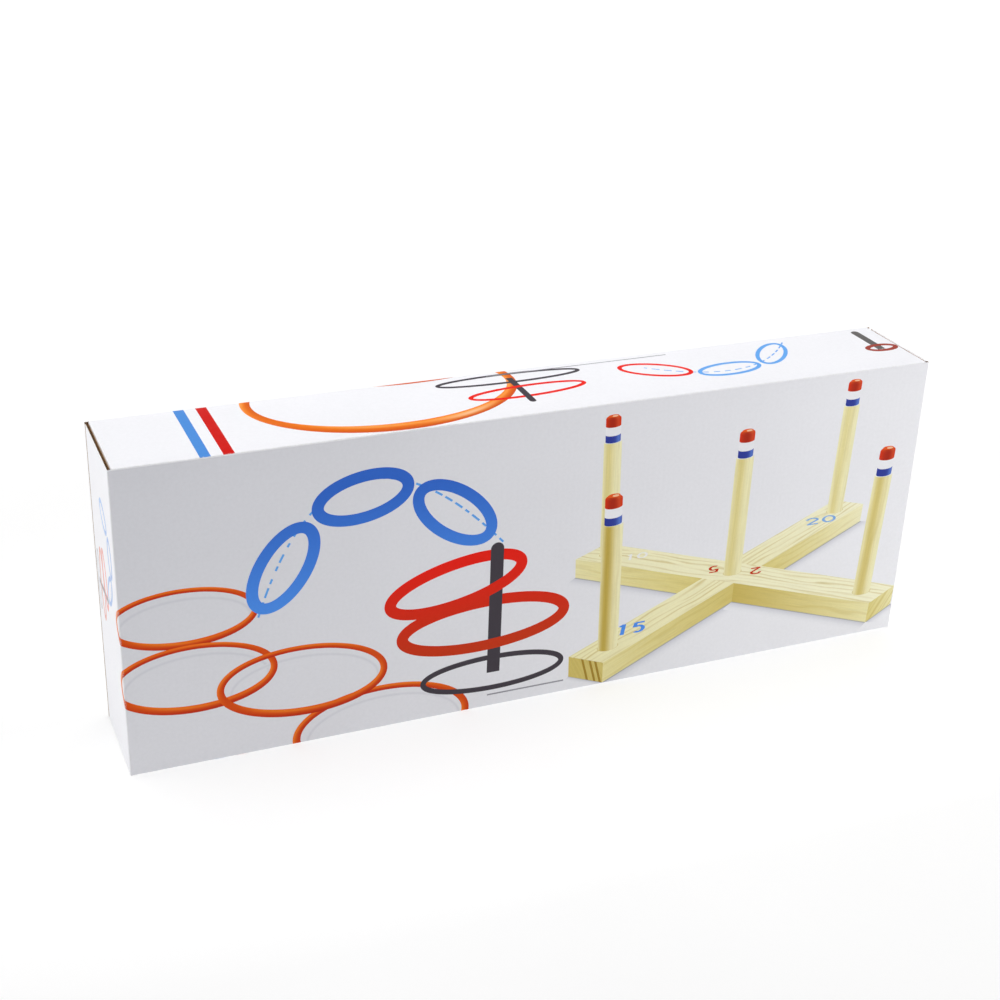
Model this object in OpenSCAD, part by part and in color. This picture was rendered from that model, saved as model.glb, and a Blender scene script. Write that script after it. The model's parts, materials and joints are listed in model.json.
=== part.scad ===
// Ring toss set: a printed corrugated carton that stands on its long narrow side, with the game
// packed inside it. +X runs along the carton's length, +Y to its back and +Z up, and the origin is
// the middle of the base. Each end closes with two dust flaps and a tuck flap, whose tab slides in
// behind the back panel.

/* [Carton] */
// Outer length of the carton
carton_l = 610; // [606:1:640]
// Outer depth, front to back
carton_d = 80; // [80:1:90]
// Outer height, standing on its long narrow side
carton_h = 229; // [225:1:260]
// Thickness of the corrugated board
board_t = 2; // [1.6:0.1:2.2]
// Gap between two boards that lie against each other
lap_gap = 0.4; // [0.3:0.1:0.6]
// Height of the strip that glues the bottom panel to the back panel
glue_h = 30; // [20:1:35]
// How far the glue strip stops short of each end
glue_inset = 30; // [28:1:40]

/* [End flaps] */
// How far a tuck tab reaches into the carton
tab_l = 22; // [16:1:24]
// Lean of a closed tuck tab away from the back panel, in degrees
tab_lean = 15; // [14:1:18]
// Corner radius of a tuck tab
tab_r = 12; // [6:1:14]
// How far a tuck tab stops short of the carton's top and bottom
tab_inset = 4; // [3:0.5:8]
// Length of a dust flap
dust_l = 50; // [30:1:55]
// Slope of the dust flap's edge beside the tuck flap's hinge, in degrees
dust_front_slope = 31; // [30:1:34]
// Slope of the dust flap's edge beside the tuck tab, in degrees
dust_back_slope = 5; // [4:1:8]

/* [Base bars] */
// Length of each base bar
bar_l = 584; // [560:1:588]
// Width of each base bar
bar_w = 63; // [50:1:64]
// Thickness of each base bar
bar_t = 30; // [28:1:30]
// Distance from a bar's middle to the peg hole near each end
end_hole_x = 253; // [230:1:256]
// Clearance of the half lap joint, all in all
lap_clearance = 0.6; // [0.4:0.1:1]

/* [Pegs] */
// Whole length of a peg
peg_l = 228; // [200:1:230]
// Diameter of a peg at its foot
peg_d = 25.4; // [22:0.1:26]
// Diameter of a peg under its rounded tip
peg_tip_d = 22.4; // [20:0.1:23]
// Edge rounding of a peg's tip
peg_round = 5; // [3:0.5:5.5]
// Depth of a peg in its hole
socket_depth = 25; // [20:1:26]
// Clearance between a peg and its hole, on the diameter
socket_clearance = 0.3; // [0.2:0.1:0.6]

/* [Rings] */
// Outer diameter of a ring
ring_d = 160; // [140:1:164]
// Thickness of a ring's tube
ring_tube_d = 6; // [5:0.1:6.2]

/* [Leaflet] */
// Width of the folded leaflet
leaflet_w = 148; // [120:1:160]
// Height of the folded leaflet
leaflet_h = 105; // [90:1:150]
// Thickness of the folded leaflet
leaflet_t = 1.2; // [0.8:0.1:2]

/* [Hidden] */
$fn = 64;

PRINTED_BOARD = "whitesmoke";
PINE = "burlywood";
RING_PLASTIC = "orangered";
LEAFLET_PAPER = "ivory";

half_l = carton_l / 2;
half_d = carton_d / 2;
// The tuck tab folds a little inside the back panel's inner face.
tab_fold_y = half_d - board_t - 0.5;
// Half of the angle between a closed tuck flap and its tab, where the two boards are mitred
tab_mitre = (90 - tab_lean) / 2;
// The dust flaps fold on this line, just inside the closed tuck flap.
dust_fold_x = half_l - board_t - lap_gap;
// The dust flap's edges start this far from the outer face of the front and of the back
dust_front_inset = 6;
dust_back_inset = 8;
// The tuck flap's top and bottom edges are cut a little short, so it clears the panels.
flap_inset = 0.5;

pack_gap = 0.5;
// The bars and the pegs lie in a front layer, and the rings behind it.
layer_back_y = -half_d + board_t + 0.6 + bar_t;
ring_layer_y = layer_back_y + 1.4;
ring_pitch = ring_tube_d + 0.1;
ring_x = -190;
peg_outer_x = 290;
leaflet_x = 94;
leaflet_y = half_d - board_t - 4;
socket_d = peg_d + socket_clearance;
// Depth of the centre hole in the lower bar's half of the lap
centre_hole_depth = socket_depth - bar_t / 2;

// A shape drawn in the Y-Z plane, carried along X
module along_x(length) {
    rotate([90, 0, 90]) linear_extrude(height = length, center = true) children();
}

// A shape drawn in the X-Z plane, carried along Y
module along_y(length) {
    rotate([90, 0, 0]) linear_extrude(height = length, center = true) children();
}

// The carton wall that a trapezoid in the Y-Z plane gives, with mitred creases
module wall(points, length) {
    along_x(length) polygon(points);
}

module front_panel() {
    color(PRINTED_BOARD) intersection() {
        wall([[-half_d, 0], [-half_d, carton_h], [-half_d + board_t, carton_h - board_t],
            [-half_d + board_t, board_t]], carton_l);
        linear_extrude(height = carton_h) polygon([[-half_l, -half_d], [half_l, -half_d],
            [half_l - board_t, -half_d + board_t], [-half_l + board_t, -half_d + board_t]]);
    }
}

module back_panel() {
    color(PRINTED_BOARD) wall([[half_d, 0], [half_d, carton_h],
        [half_d - board_t, carton_h - board_t], [half_d - board_t, 0]], carton_l);
}

// The top and bottom panels end where the dust flaps fold, with a mitre there too
module top_panel() {
    color(PRINTED_BOARD) intersection() {
        wall([[-half_d, carton_h], [half_d, carton_h], [half_d - board_t, carton_h - board_t],
            [-half_d + board_t, carton_h - board_t]], carton_l);
        along_y(carton_d) polygon([[-dust_fold_x, carton_h], [dust_fold_x, carton_h],
            [dust_fold_x - board_t, carton_h - board_t],
            [-dust_fold_x + board_t, carton_h - board_t]]);
    }
}

module bottom_panel() {
    color(PRINTED_BOARD) intersection() {
        wall([[-half_d, 0], [half_d - board_t, 0], [half_d - 2 * board_t, board_t],
            [-half_d + board_t, board_t]], carton_l);
        along_y(carton_d) polygon([[-dust_fold_x, 0], [dust_fold_x, 0],
            [dust_fold_x - board_t, board_t], [-dust_fold_x + board_t, board_t]]);
    }
}

// The strip that folds up from the bottom panel's back edge and is glued inside the back panel
module glue_flap() {
    color(PRINTED_BOARD) wall([[half_d - board_t, 0], [half_d - board_t, glue_h],
        [half_d - 2 * board_t, glue_h], [half_d - 2 * board_t, board_t]],
        carton_l - 2 * glue_inset);
}

// The end's outer cover, hinged on the front panel's upright edge; drawn for the left end
module tuck_flap() {
    color(PRINTED_BOARD) translate([0, 0, flap_inset])
        linear_extrude(height = carton_h - 2 * flap_inset)
            polygon([[-half_l, -half_d], [-half_l + board_t, -half_d + board_t],
                [-half_l + board_t, tab_fold_y - board_t / tan(tab_mitre)],
                [-half_l, tab_fold_y]]);
}

// The tab's outline, from its fold at x = 0 to its rounded tip, with its height along Y
module tab_outline() {
    tab_h = carton_h - 2 * tab_inset;
    square([tab_l - tab_r, tab_h]);
    translate([0, tab_r]) square([tab_l, tab_h - 2 * tab_r]);
    translate([tab_l - tab_r, tab_r]) circle(r = tab_r);
    translate([tab_l - tab_r, tab_h - tab_r]) circle(r = tab_r);
}

// The tab that slides in behind the back panel; drawn for the left end
module tuck_tab() {
    color(PRINTED_BOARD) translate([-half_l, tab_fold_y, tab_inset]) rotate([0, 0, -tab_lean])
        intersection() {
            linear_extrude(height = carton_h) polygon([[0, 0], [tab_l, 0], [tab_l, -board_t],
                [board_t / tan(tab_mitre), -board_t]]);
            along_y(carton_d) tab_outline();
        }
}

// The inner flap that keeps dust out; drawn for the left end, folded down from the top
module dust_flap() {
    front_y = -half_d + dust_front_inset;
    back_y = half_d - dust_back_inset;
    low_z = carton_h - dust_l;
    color(PRINTED_BOARD) intersection() {
        along_y(carton_d) polygon([[-dust_fold_x, carton_h], [-dust_fold_x, low_z],
            [-dust_fold_x + board_t, low_z], [-dust_fold_x + board_t, carton_h - board_t]]);
        along_x(carton_l) polygon([[front_y, carton_h], [back_y, carton_h],
            [back_y - dust_l * tan(dust_back_slope), low_z],
            [front_y + dust_l * tan(dust_front_slope), low_z]]);
    }
}

module right_side() {
    mirror([1, 0, 0]) children();
}

module at_bottom() {
    translate([0, 0, carton_h]) mirror([0, 0, 1]) children();
}

// A peg hole in a bar that lies flat, sunk from its upper face
module peg_hole(x, top_z, depth) {
    translate([x, 0, top_z - depth]) cylinder(d = socket_d, h = depth + 1);
}

// A base bar lying flat, with its middle at the origin and half of the lap joint cut away
module base_bar(lap_in_top) {
    lap_w = bar_w + lap_clearance;
    lap_z = lap_in_top ? bar_t / 2 : -1;
    difference() {
        translate([-bar_l / 2, -bar_w / 2, 0]) cube([bar_l, bar_w, bar_t]);
        translate([-lap_w / 2, -bar_w, lap_z]) cube([lap_w, 2 * bar_w, bar_t / 2 + 1]);
        for (x = [-end_hole_x, end_hole_x]) peg_hole(x, bar_t, socket_depth);
        if (lap_in_top) peg_hole(0, bar_t / 2, centre_hole_depth);
        else peg_hole(0, bar_t, bar_t);
    }
}

// The bars are packed on edge, one on the other, with their upper faces to the front
module packed_bar(level) {
    z = board_t + pack_gap + bar_w / 2 + level * (bar_w + pack_gap);
    color(PINE) translate([0, layer_back_y, z]) rotate([90, 0, 0]) children();
}

// A peg with its foot at the origin and its rounded tip towards +Z
module peg() {
    tip_h = 2 * peg_round;
    tip_r = peg_tip_d / 2;
    cylinder(d = peg_d, h = socket_depth);
    translate([0, 0, socket_depth])
        cylinder(d1 = peg_d, d2 = peg_tip_d, h = peg_l - socket_depth - tip_h);
    translate([0, 0, peg_l - tip_h]) rotate_extrude() {
        square([tip_r, tip_h - peg_round]);
        square([tip_r - peg_round, tip_h]);
        translate([tip_r - peg_round, tip_h - peg_round]) circle(r = peg_round);
    }
}

// The pegs lie along the carton above the bars, with their tips towards its ends
module packed_peg(number) {
    row = floor((number - 1) / 2);
    side = number % 2 == 1 ? -1 : 1;
    first_z = board_t + 3 * pack_gap + 2 * bar_w + peg_d / 2;
    color(PINE) translate([side * (peg_outer_x - peg_l), layer_back_y - bar_t / 2,
        first_z + row * (peg_d + pack_gap)]) rotate([0, side * 90, 0]) peg();
}

// The rings stand in a stack against each other
module packed_ring(number) {
    y = ring_layer_y + (number - 0.5) * ring_pitch;
    color(RING_PLASTIC) translate([ring_x, y, board_t + pack_gap + ring_d / 2])
        rotate([90, 0, 0]) rotate_extrude()
            translate([(ring_d - ring_tube_d) / 2, 0]) circle(d = ring_tube_d);
}

module instruction_leaflet() {
    color(LEAFLET_PAPER) translate([leaflet_x - leaflet_w / 2, leaflet_y - leaflet_t,
        board_t + pack_gap]) cube([leaflet_w, leaflet_t, leaflet_h]);
}

front_panel();
back_panel();
top_panel();
bottom_panel();
glue_flap();
tuck_flap();  // left_tuck_flap
tuck_tab();  // left_tuck_tab
dust_flap();  // left_top_dust_flap
at_bottom() dust_flap();  // left_bottom_dust_flap
right_side() tuck_flap();  // right_tuck_flap
right_side() tuck_tab();  // right_tuck_tab
right_side() dust_flap();  // right_top_dust_flap
right_side() at_bottom() dust_flap();  // right_bottom_dust_flap
packed_bar(0) base_bar(true);  // base_bar_lower
packed_bar(1) base_bar(false);  // base_bar_upper
packed_peg(1);  // peg_1
packed_peg(2);  // peg_2
packed_peg(3);  // peg_3
packed_peg(4);  // peg_4
packed_peg(5);  // peg_5
packed_ring(1);  // ring_1
packed_ring(2);  // ring_2
packed_ring(3);  // ring_3
packed_ring(4);  // ring_4
packed_ring(5);  // ring_5
instruction_leaflet();
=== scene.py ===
"""The looks of the ring toss set: its printed corrugated carton, and the game packed inside."""

import json
import math

import bpy
from mathutils import Matrix, Vector
from mathutils.geometry import delaunay_2d_cdt
from mathutils.interpolate import poly_3d_calc


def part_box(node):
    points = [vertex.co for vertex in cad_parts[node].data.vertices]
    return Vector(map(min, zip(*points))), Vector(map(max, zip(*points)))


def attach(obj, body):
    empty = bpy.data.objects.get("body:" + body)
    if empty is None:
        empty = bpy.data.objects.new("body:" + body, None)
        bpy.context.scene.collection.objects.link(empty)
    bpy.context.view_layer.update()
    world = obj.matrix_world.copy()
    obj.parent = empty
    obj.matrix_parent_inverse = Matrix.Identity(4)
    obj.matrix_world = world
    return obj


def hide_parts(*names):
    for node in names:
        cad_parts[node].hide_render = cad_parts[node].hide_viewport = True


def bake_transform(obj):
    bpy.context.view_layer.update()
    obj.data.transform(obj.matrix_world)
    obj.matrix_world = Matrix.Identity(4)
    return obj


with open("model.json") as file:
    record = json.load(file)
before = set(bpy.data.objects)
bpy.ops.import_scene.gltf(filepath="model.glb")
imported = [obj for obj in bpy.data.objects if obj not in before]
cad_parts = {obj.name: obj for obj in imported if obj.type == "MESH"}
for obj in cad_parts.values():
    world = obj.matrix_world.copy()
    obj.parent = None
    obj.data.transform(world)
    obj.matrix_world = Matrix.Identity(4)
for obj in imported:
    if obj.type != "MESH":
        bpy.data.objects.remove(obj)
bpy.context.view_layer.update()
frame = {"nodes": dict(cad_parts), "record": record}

# ---------------------------------------------------------------- sizes, in millimetres

MM = 0.001


def box_mm(node):
    low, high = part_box(node)
    return low / MM, high / MM


front_low, front_high = box_mm("front_panel")
back_high = box_mm("back_panel")[1]
top_high = box_mm("top_panel")[1]
glue_low, glue_high = box_mm("glue_flap")
flap_low, flap_high = box_mm("left_tuck_flap")
tab_low, tab_high = box_mm("left_tuck_tab")
dust_low, dust_high = box_mm("left_top_dust_flap")
LENGTH = front_high.x - front_low.x
HEIGHT = front_high.z
DEPTH = back_high.y - front_low.y
BOARD = front_high.y - front_low.y
HALF_L = LENGTH / 2
HALF_D = DEPTH / 2
FLAP_D = flap_high.y - flap_low.y
FLAP_CUT = flap_low.z
FOLD_X = top_high.x
END_STEP = HALF_L - FOLD_X
TAB_LEAN = math.radians(15)
TAB_L = (tab_high.x + HALF_L) / math.cos(TAB_LEAN)
TAB_CUT = tab_low.z
TAB_ROUND = 12
DUST_L = dust_high.z - dust_low.z
DUST_FRONT = dust_low.y + HALF_D
DUST_BACK = HALF_D - dust_high.y
DUST_FRONT_SLOPE = math.tan(math.radians(31))
DUST_BACK_SLOPE = math.tan(math.radians(5))

LINER = 0.3
CREASE = 1.2
CREASE_WEAR = 0.6
FLUTE_PITCH = 4.2
FLUTE_PAPER = 0.22
FLUTE_RECESS = 1.0
# How far the flutes stop short of a flap's cut side, the glue flap's and the back's pinched sides,
# and the creases of a tuck flap, a tab and a dust flap
FLUTE_CUT_GAP, FLUTE_GLUE_GAP, FLUTE_PINCH_GAP = 0.4, 0.3, 0.8
FLUTE_FLAP_GAP, FLUTE_TAB_GAP, FLUTE_DUST_GAP = 2.6, 2.9, 2.4

# ---------------------------------------------------------------- inks


def linear(colour):
    """A display colour, 0 to 255, as the linear values that materials take."""
    shares = [channel / 255 for channel in colour]
    return tuple(c / 12.92 if c <= 0.04045 else ((c + 0.055) / 1.055) ** 2.4 for c in shares)


def rgba(colour):
    return (*linear(colour), 1.0)


def mixed(a, b, share):
    return tuple(x + (y - x) * share for x, y in zip(a, b))


WHITE = (243, 243, 247)
SHADE = (196, 197, 205)
SHADOW = (176, 177, 188)
BLUE_TOP, BLUE_LOW = (48, 104, 205), (78, 146, 240)
SKY = (98, 168, 240)
RED_TOP, RED_LOW = (238, 22, 0), (200, 52, 6)
DARK = (66, 60, 68)
GREY = (150, 150, 156)
RING_DARK, RING_MID, RING_LIGHT = (190, 38, 0), (236, 96, 0), (250, 142, 50)
TOP_RING_DARK, TOP_RING_MID, TOP_RING_LIGHT = (206, 78, 0), (246, 124, 0), (255, 176, 110)
PINE_PALE, PINE_MID, PINE_DEEP = (252, 249, 216), (234, 222, 148), (190, 162, 66)
PEG_RED, PEG_WHITE, PEG_BLUE = (218, 50, 4), (240, 240, 244), (44, 58, 152)

# ---------------------------------------------------------------- materials


WAVE_RADIANS = 20  # how far a wave texture turns in one unit at scale 1


class Nodes:
    """Adds nodes to a new material, and feeds each input a value, a display colour of three
    numbers, or another node's output."""

    def __init__(self, name):
        self.material = bpy.data.materials.new(name)
        self.material.use_nodes = True
        self.tree = self.material.node_tree
        self.shader = self.tree.nodes["Principled BSDF"]

    def feed(self, socket, value):
        if isinstance(value, bpy.types.NodeSocket):
            self.tree.links.new(value, socket)
            return
        is_display_colour = socket.type == "RGBA" and len(value) == 3
        socket.default_value = rgba(value) if is_display_colour else value

    def add(self, kind, output=0, inputs=None, **settings):
        node = self.tree.nodes.new("ShaderNode" + kind)
        for name, value in settings.items():
            setattr(node, name, value)
        for name, value in (inputs or {}).items():
            self.feed(node.inputs[name], value)
        return node.outputs[output]

    def surface(self, **inputs):
        for name, value in inputs.items():
            self.feed(self.shader.inputs[name.replace("_", " ")], value)
        return self.material

    def attribute(self, name, output="Color"):
        return self.add("Attribute", output, attribute_name=name)

    def place(self):
        return self.add("TexCoord", "Object")

    def scaled(self, vector, factors):
        return self.add("Mapping", 0, {"Vector": vector, "Scale": factors})

    def noise(self, vector, scale, detail=3.0, rough=0.5):
        return self.add(
            "TexNoise", 0, {"Vector": vector, "Scale": scale, "Detail": detail, "Roughness": rough}
        )

    def streaks(self, vector, factors, detail=3.0):
        """Noise drawn out into streaks, with its own scale along each axis"""
        return self.noise(self.scaled(vector, factors), 1.0, detail)

    def maths(self, operation, a, b=0.0, c=0.0):
        return self.add("Math", 0, {0: a, 1: b, 2: c}, operation=operation)

    def ranged(self, value, low, high, to_low=0.0, to_high=1.0):
        return self.add(
            "MapRange", 0,
            {"Value": value, "From Min": low, "From Max": high, "To Min": to_low, "To Max": to_high},
        )

    def spread(self, noise, to_low=0.0, to_high=1.0):
        """Noise, which lies mostly between 0.3 and 0.7, stretched over a range of its own"""
        return self.ranged(noise, 0.3, 0.7, to_low, to_high)

    def blend(self, share, a, b, mode="MIX"):
        node = self.tree.nodes.new("ShaderNodeMix")
        node.data_type = "RGBA"
        node.blend_type = mode
        for index, value in ((0, share), (6, a), (7, b)):
            self.feed(node.inputs[index], value)
        return node.outputs[2]

    def toned(self, colour, tone):
        return self.blend(1.0, colour, tone, "MULTIPLY")

    def bump(self, height, strength, distance):
        return self.add("Bump", 0, {"Height": height, "Strength": strength, "Distance": distance})


def finish_print(nodes, colour):
    """The varnished, slightly washboarded face of the board: fine mottle, rubbed creases."""
    place = nodes.place()
    mottle = nodes.spread(nodes.noise(place, 420.0, 4.0), 0.98, 1.012)
    clouds = nodes.spread(nodes.noise(place, 9.0, 2.0), 0.985, 1.01)
    tone = nodes.maths("MULTIPLY", mottle, clouds)
    toned = nodes.toned(colour, tone)
    specks = nodes.noise(place, 900.0, 3.0, 0.6)
    rubbed = nodes.maths("MULTIPLY", nodes.attribute("wear", "Fac"), nodes.ranged(specks, 0.44, 0.6))
    worn = nodes.blend(rubbed, toned, (232, 230, 228))
    sheet = nodes.attribute("sheet", "Vector")
    flute_scale = math.tau / FLUTE_PITCH / WAVE_RADIANS
    waves = nodes.add("TexWave", 1, {"Vector": sheet, "Scale": flute_scale})
    grain = nodes.noise(place, 1400.0, 3.0)
    height = nodes.maths("MULTIPLY_ADD", grain, 0.35, waves)
    scuffs = nodes.noise(nodes.scaled(place, (1.0, 1.0, 0.15)), 60.0, 4.0, 0.65)
    rough = nodes.ranged(scuffs, 0.35, 0.75, 0.34, 0.5)
    return nodes.surface(
        Base_Color=worn, Roughness=rough, Specular_IOR_Level=0.12,
        Normal=nodes.bump(height, 0.05, 0.0002),
    )


def printed_face():
    nodes = Nodes("printed_face")
    return finish_print(nodes, nodes.attribute("ink"))


def printed_wood():
    """The pine in the printed picture: the ink's own tone, streaked along the bars and pegs. The
    grain's third value says how far the streaks are held back."""
    nodes = Nodes("printed_wood")
    grain = nodes.attribute("grain", "Vector")
    drift = nodes.streaks(grain, (0.006, 0.03, 0.0), 2.0)
    across = nodes.maths("MULTIPLY_ADD", drift, 42.0, nodes.add("SeparateXYZ", 1, {0: grain}))
    lines = nodes.maths("SINE", nodes.maths("MULTIPLY", across, 0.5))
    patch = nodes.streaks(grain, (0.005, 0.09, 0.0), 2.0)
    fine = nodes.streaks(grain, (0.02, 0.9, 0.0), 3.0)
    strength = nodes.maths("SUBTRACT", 1.0, nodes.add("SeparateXYZ", 2, {0: grain}))
    streak = nodes.maths(
        "MULTIPLY", nodes.ranged(lines, 0.0, 1.0), nodes.ranged(patch, 0.38, 0.6, 0.08, 0.62)
    )
    streak = nodes.maths("MULTIPLY", streak, strength)
    lined = nodes.blend(streak, nodes.attribute("ink"), mixed(PINE_DEEP, PINE_MID, 0.35))
    return finish_print(nodes, nodes.toned(lined, nodes.spread(fine, 0.92, 1.04)))


def paper_core():
    """The cut edge of the printed liner"""
    nodes = Nodes("liner_cut_edge")
    fibre = nodes.noise(nodes.scaled(nodes.place(), (1.0, 1.0, 3.0)), 900.0, 4.0)
    colour = nodes.blend(nodes.ranged(fibre, 0.35, 0.65), (206, 198, 188), (232, 228, 220))
    return nodes.surface(Base_Color=colour, Roughness=0.9, Normal=nodes.bump(fibre, 0.4, 0.0001))


def kraft():
    """Brown liner and flutes: long fibres, darker patches and flecks"""
    nodes = Nodes("kraft_board")
    place = nodes.place()
    fibre = nodes.noise(nodes.scaled(place, (1.0, 1.0, 4.0)), 320.0, 6.0, 0.65)
    patch = nodes.noise(place, 14.0, 3.0)
    fleck = nodes.ranged(nodes.noise(place, 700.0, 2.0, 0.7), 0.62, 0.72)
    base = nodes.blend(nodes.spread(fibre), (150, 112, 74), (190, 150, 106))
    shaded = nodes.blend(nodes.spread(patch, 0.0, 0.35), base, (140, 104, 70))
    colour = nodes.blend(nodes.maths("MULTIPLY", fleck, 0.5), shaded, (96, 68, 44))
    return nodes.surface(
        Base_Color=colour, Roughness=nodes.spread(fibre, 0.78, 0.95),
        Normal=nodes.bump(fibre, 0.35, 0.0002),
    )


def pine_colour(nodes, place, pith, closeness=1.0):
    """Growth rings round a pith line that runs along X, seen as lines on faces and arcs on ends"""
    drift = nodes.streaks(place, (2.2, 9.0, 9.0), 2.0)
    moved = nodes.add("VectorMath", 0, {0: place, 1: (0.0, pith[0], pith[1])}, operation="SUBTRACT")
    flat = nodes.scaled(moved, (0.0, 1.0, 1.0))
    radius = nodes.add("VectorMath", "Value", {0: flat}, operation="LENGTH")
    swayed = nodes.maths("MULTIPLY_ADD", drift, 0.014, radius)
    turns = nodes.maths("MULTIPLY", swayed, 1150.0 * closeness)
    late = nodes.ranged(nodes.maths("SINE", turns), 0.1, 1.0)
    fibre = nodes.streaks(place, (18.0, 900.0, 900.0), 4.0)
    wide = nodes.streaks(place, (3.0, 40.0, 40.0), 2.0)
    early = nodes.blend(nodes.spread(wide), (236, 214, 160), (226, 198, 138))
    ringed = nodes.blend(nodes.maths("MULTIPLY", late, 0.55), early, (196, 150, 84))
    return nodes.toned(ringed, nodes.spread(fibre, 0.9, 1.04)), fibre


def pine(name, pith):
    nodes = Nodes(name)
    colour, fibre = pine_colour(nodes, nodes.place(), pith)
    return nodes.surface(
        Base_Color=colour, Roughness=nodes.spread(fibre, 0.42, 0.6),
        Normal=nodes.bump(fibre, 0.25, 0.0003),
    )


def painted_peg(name, pith, tip_x):
    """Pine with a red, a white and a blue band of gloss paint towards the tip, at x = tip_x"""
    nodes = Nodes(name)
    place = nodes.place()
    wood, fibre = pine_colour(nodes, place, pith, 1.3)
    x = nodes.add("SeparateXYZ", 0, {0: place})
    wander = nodes.spread(nodes.noise(place, 120.0, 2.0), -0.0003, 0.0003)
    from_tip = nodes.maths("ABSOLUTE", nodes.maths("SUBTRACT", nodes.maths("ADD", x, wander), tip_x))

    def nearer_than(reach):
        soft_edge = 0.2
        return nodes.ranged(from_tip, reach * MM, (reach - soft_edge) * MM)

    colour = wood
    for ink, band in ((PEG_BLUE, BLUE_BAND), (PEG_WHITE, WHITE_BAND), (PEG_RED, RED_BAND)):
        colour = nodes.blend(nearer_than(band), colour, ink)
    painted = nearer_than(BLUE_BAND)
    brushed = nodes.streaks(place, (900.0, 60.0, 60.0), 3.0)
    toned = nodes.toned(colour, nodes.spread(brushed, 0.93, 1.03))
    return nodes.surface(
        Base_Color=toned, Roughness=nodes.ranged(painted, 0.0, 1.0, 0.55, 0.3),
        Coat_Weight=nodes.maths("MULTIPLY", painted, 0.25),
        Normal=nodes.bump(fibre, nodes.ranged(painted, 0.0, 1.0, 0.25, 0.05), 0.0003),
    )


def ring_plastic():
    """Moulded orange plastic: flow marks and a slightly uneven gloss"""
    nodes = Nodes("ring_plastic")
    place = nodes.place()
    flow = nodes.noise(place, 55.0, 3.0)
    pores = nodes.noise(place, 1500.0, 2.0)
    colour = nodes.blend(nodes.spread(flow), (222, 74, 8), (238, 96, 16))
    return nodes.surface(
        Base_Color=colour, Roughness=nodes.spread(flow, 0.26, 0.42),
        Normal=nodes.bump(pores, 0.08, 0.0002),
    )


def leaflet_paper():
    nodes = Nodes("leaflet_paper")
    place = nodes.place()
    fibre = nodes.noise(place, 800.0, 4.0)
    colour = nodes.blend(nodes.spread(fibre), nodes.attribute("ink"), (228, 226, 218), "MULTIPLY")
    return nodes.surface(Base_Color=colour, Roughness=0.8, Normal=nodes.bump(fibre, 0.2, 0.0001))


def score_ink(name, colour):
    """A number stamped on bare pine, with the wood's fibres showing through"""
    nodes = Nodes(name)
    fibre = nodes.streaks(nodes.place(), (30.0, 900.0, 900.0), 3.0)
    shown = nodes.blend(nodes.ranged(fibre, 0.55, 0.8, 0.0, 0.6), colour, PINE_PALE)
    return nodes.surface(Base_Color=shown, Roughness=0.5)


def studio_floor():
    """A white table that glows a little, and more so further off; just before the carton's front the
    glow is a painted light that fills the carton's shadow, so it stays white everywhere"""
    nodes = Nodes("studio_floor")
    place = nodes.place()
    tone = nodes.spread(nodes.noise(place, 3.0, 2.0), 0.44, 0.46)
    away = nodes.add("VectorMath", "Value", {0: place}, operation="LENGTH")
    y = nodes.add("SeparateXYZ", 1, {0: place})
    # painted light: extra glow that fills the carton's shadow on the floor before its front
    shadow_fill_glow = nodes.maths(
        "MULTIPLY", nodes.ranged(y, -0.26, -0.05, 0.0, 0.15), nodes.ranged(y, -0.04, 0.04, 1.0, 0.0)
    )
    return nodes.surface(
        Base_Color=nodes.add("CombineColor", 0, {0: tone, 1: tone, 2: tone}), Roughness=1.0,
        Specular_IOR_Level=0.0, Emission_Color=(1.0, 1.0, 1.0, 1.0),
        Emission_Strength=nodes.maths("ADD", shadow_fill_glow, nodes.ranged(away, 0.5, 2.2, 0.54, 1.0)),
    )


PRINTED_FACE = printed_face()
PRINTED_WOOD = printed_wood()
PAPER_CORE = paper_core()
KRAFT = kraft()

# ---------------------------------------------------------------- printed art


# A face below this area isn't drawn, and points closer than this are one point.
NO_AREA, SAME_POINT = 1e-5, 1e-4


class Art:
    """Flat printed shapes on a sheet, the lowest layer first. Each is a polygon whose corners carry
    an ink colour, and on printed wood a place in its grain."""

    def __init__(self, faces=()):
        self.faces = list(faces)

    def face(self, points, inks, grains=None):
        if isinstance(inks[0], (int, float)):
            inks = [inks] * len(points)
        area = sum(
            a[0] * b[1] - b[0] * a[1] for a, b in zip(points, list(points[1:]) + [points[0]])
        )
        if abs(area) < NO_AREA:
            return
        order = 1 if area > 0 else -1
        grains = grains[::order] if grains else None
        self.faces.append((list(points)[::order], list(inks)[::order], grains))

    def grid(self, rows, inks, grains=None):
        """Quads between neighbouring rows of points; inks and grains are rows of the same shape."""
        for i in range(len(rows) - 1):
            for j in range(len(rows[i]) - 1):
                corners = ((i, j), (i, j + 1), (i + 1, j + 1), (i + 1, j))
                self.face(
                    [rows[a][b] for a, b in corners],
                    [inks[a][b] for a, b in corners],
                    [grains[a][b] for a, b in corners] if grains else None,
                )

    def moved(self, move):
        """The same shapes with every point put through the function move, which may turn them over."""
        art = Art()
        for points, inks, grains in self.faces:
            art.face([move(*p) for p in points], inks, grains)
        return art

    def faded(self, share):
        """The same shapes in paler inks, which the ends use as a painted sheen that washes out their
        print.
        """
        return Art([
            (points, [mixed(ink, WHITE, share) for ink in inks], g) for points, inks, g in self.faces
        ])

    def __add__(self, other):
        return Art(self.faces + other.faces)


def rectangle(art, u0, v0, u1, v1, ink):
    art.face([(u0, v0), (u1, v0), (u1, v1), (u0, v1)], ink)


def straight_stroke(art, start, end, weight, ink):
    along = Vector(end) - Vector(start)
    side = Vector((-along.y, along.x)).normalized() * weight / 2
    corners = (Vector(start) + side, Vector(end) + side, Vector(end) - side, Vector(start) - side)
    art.face([tuple(p) for p in corners], ink)


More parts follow.
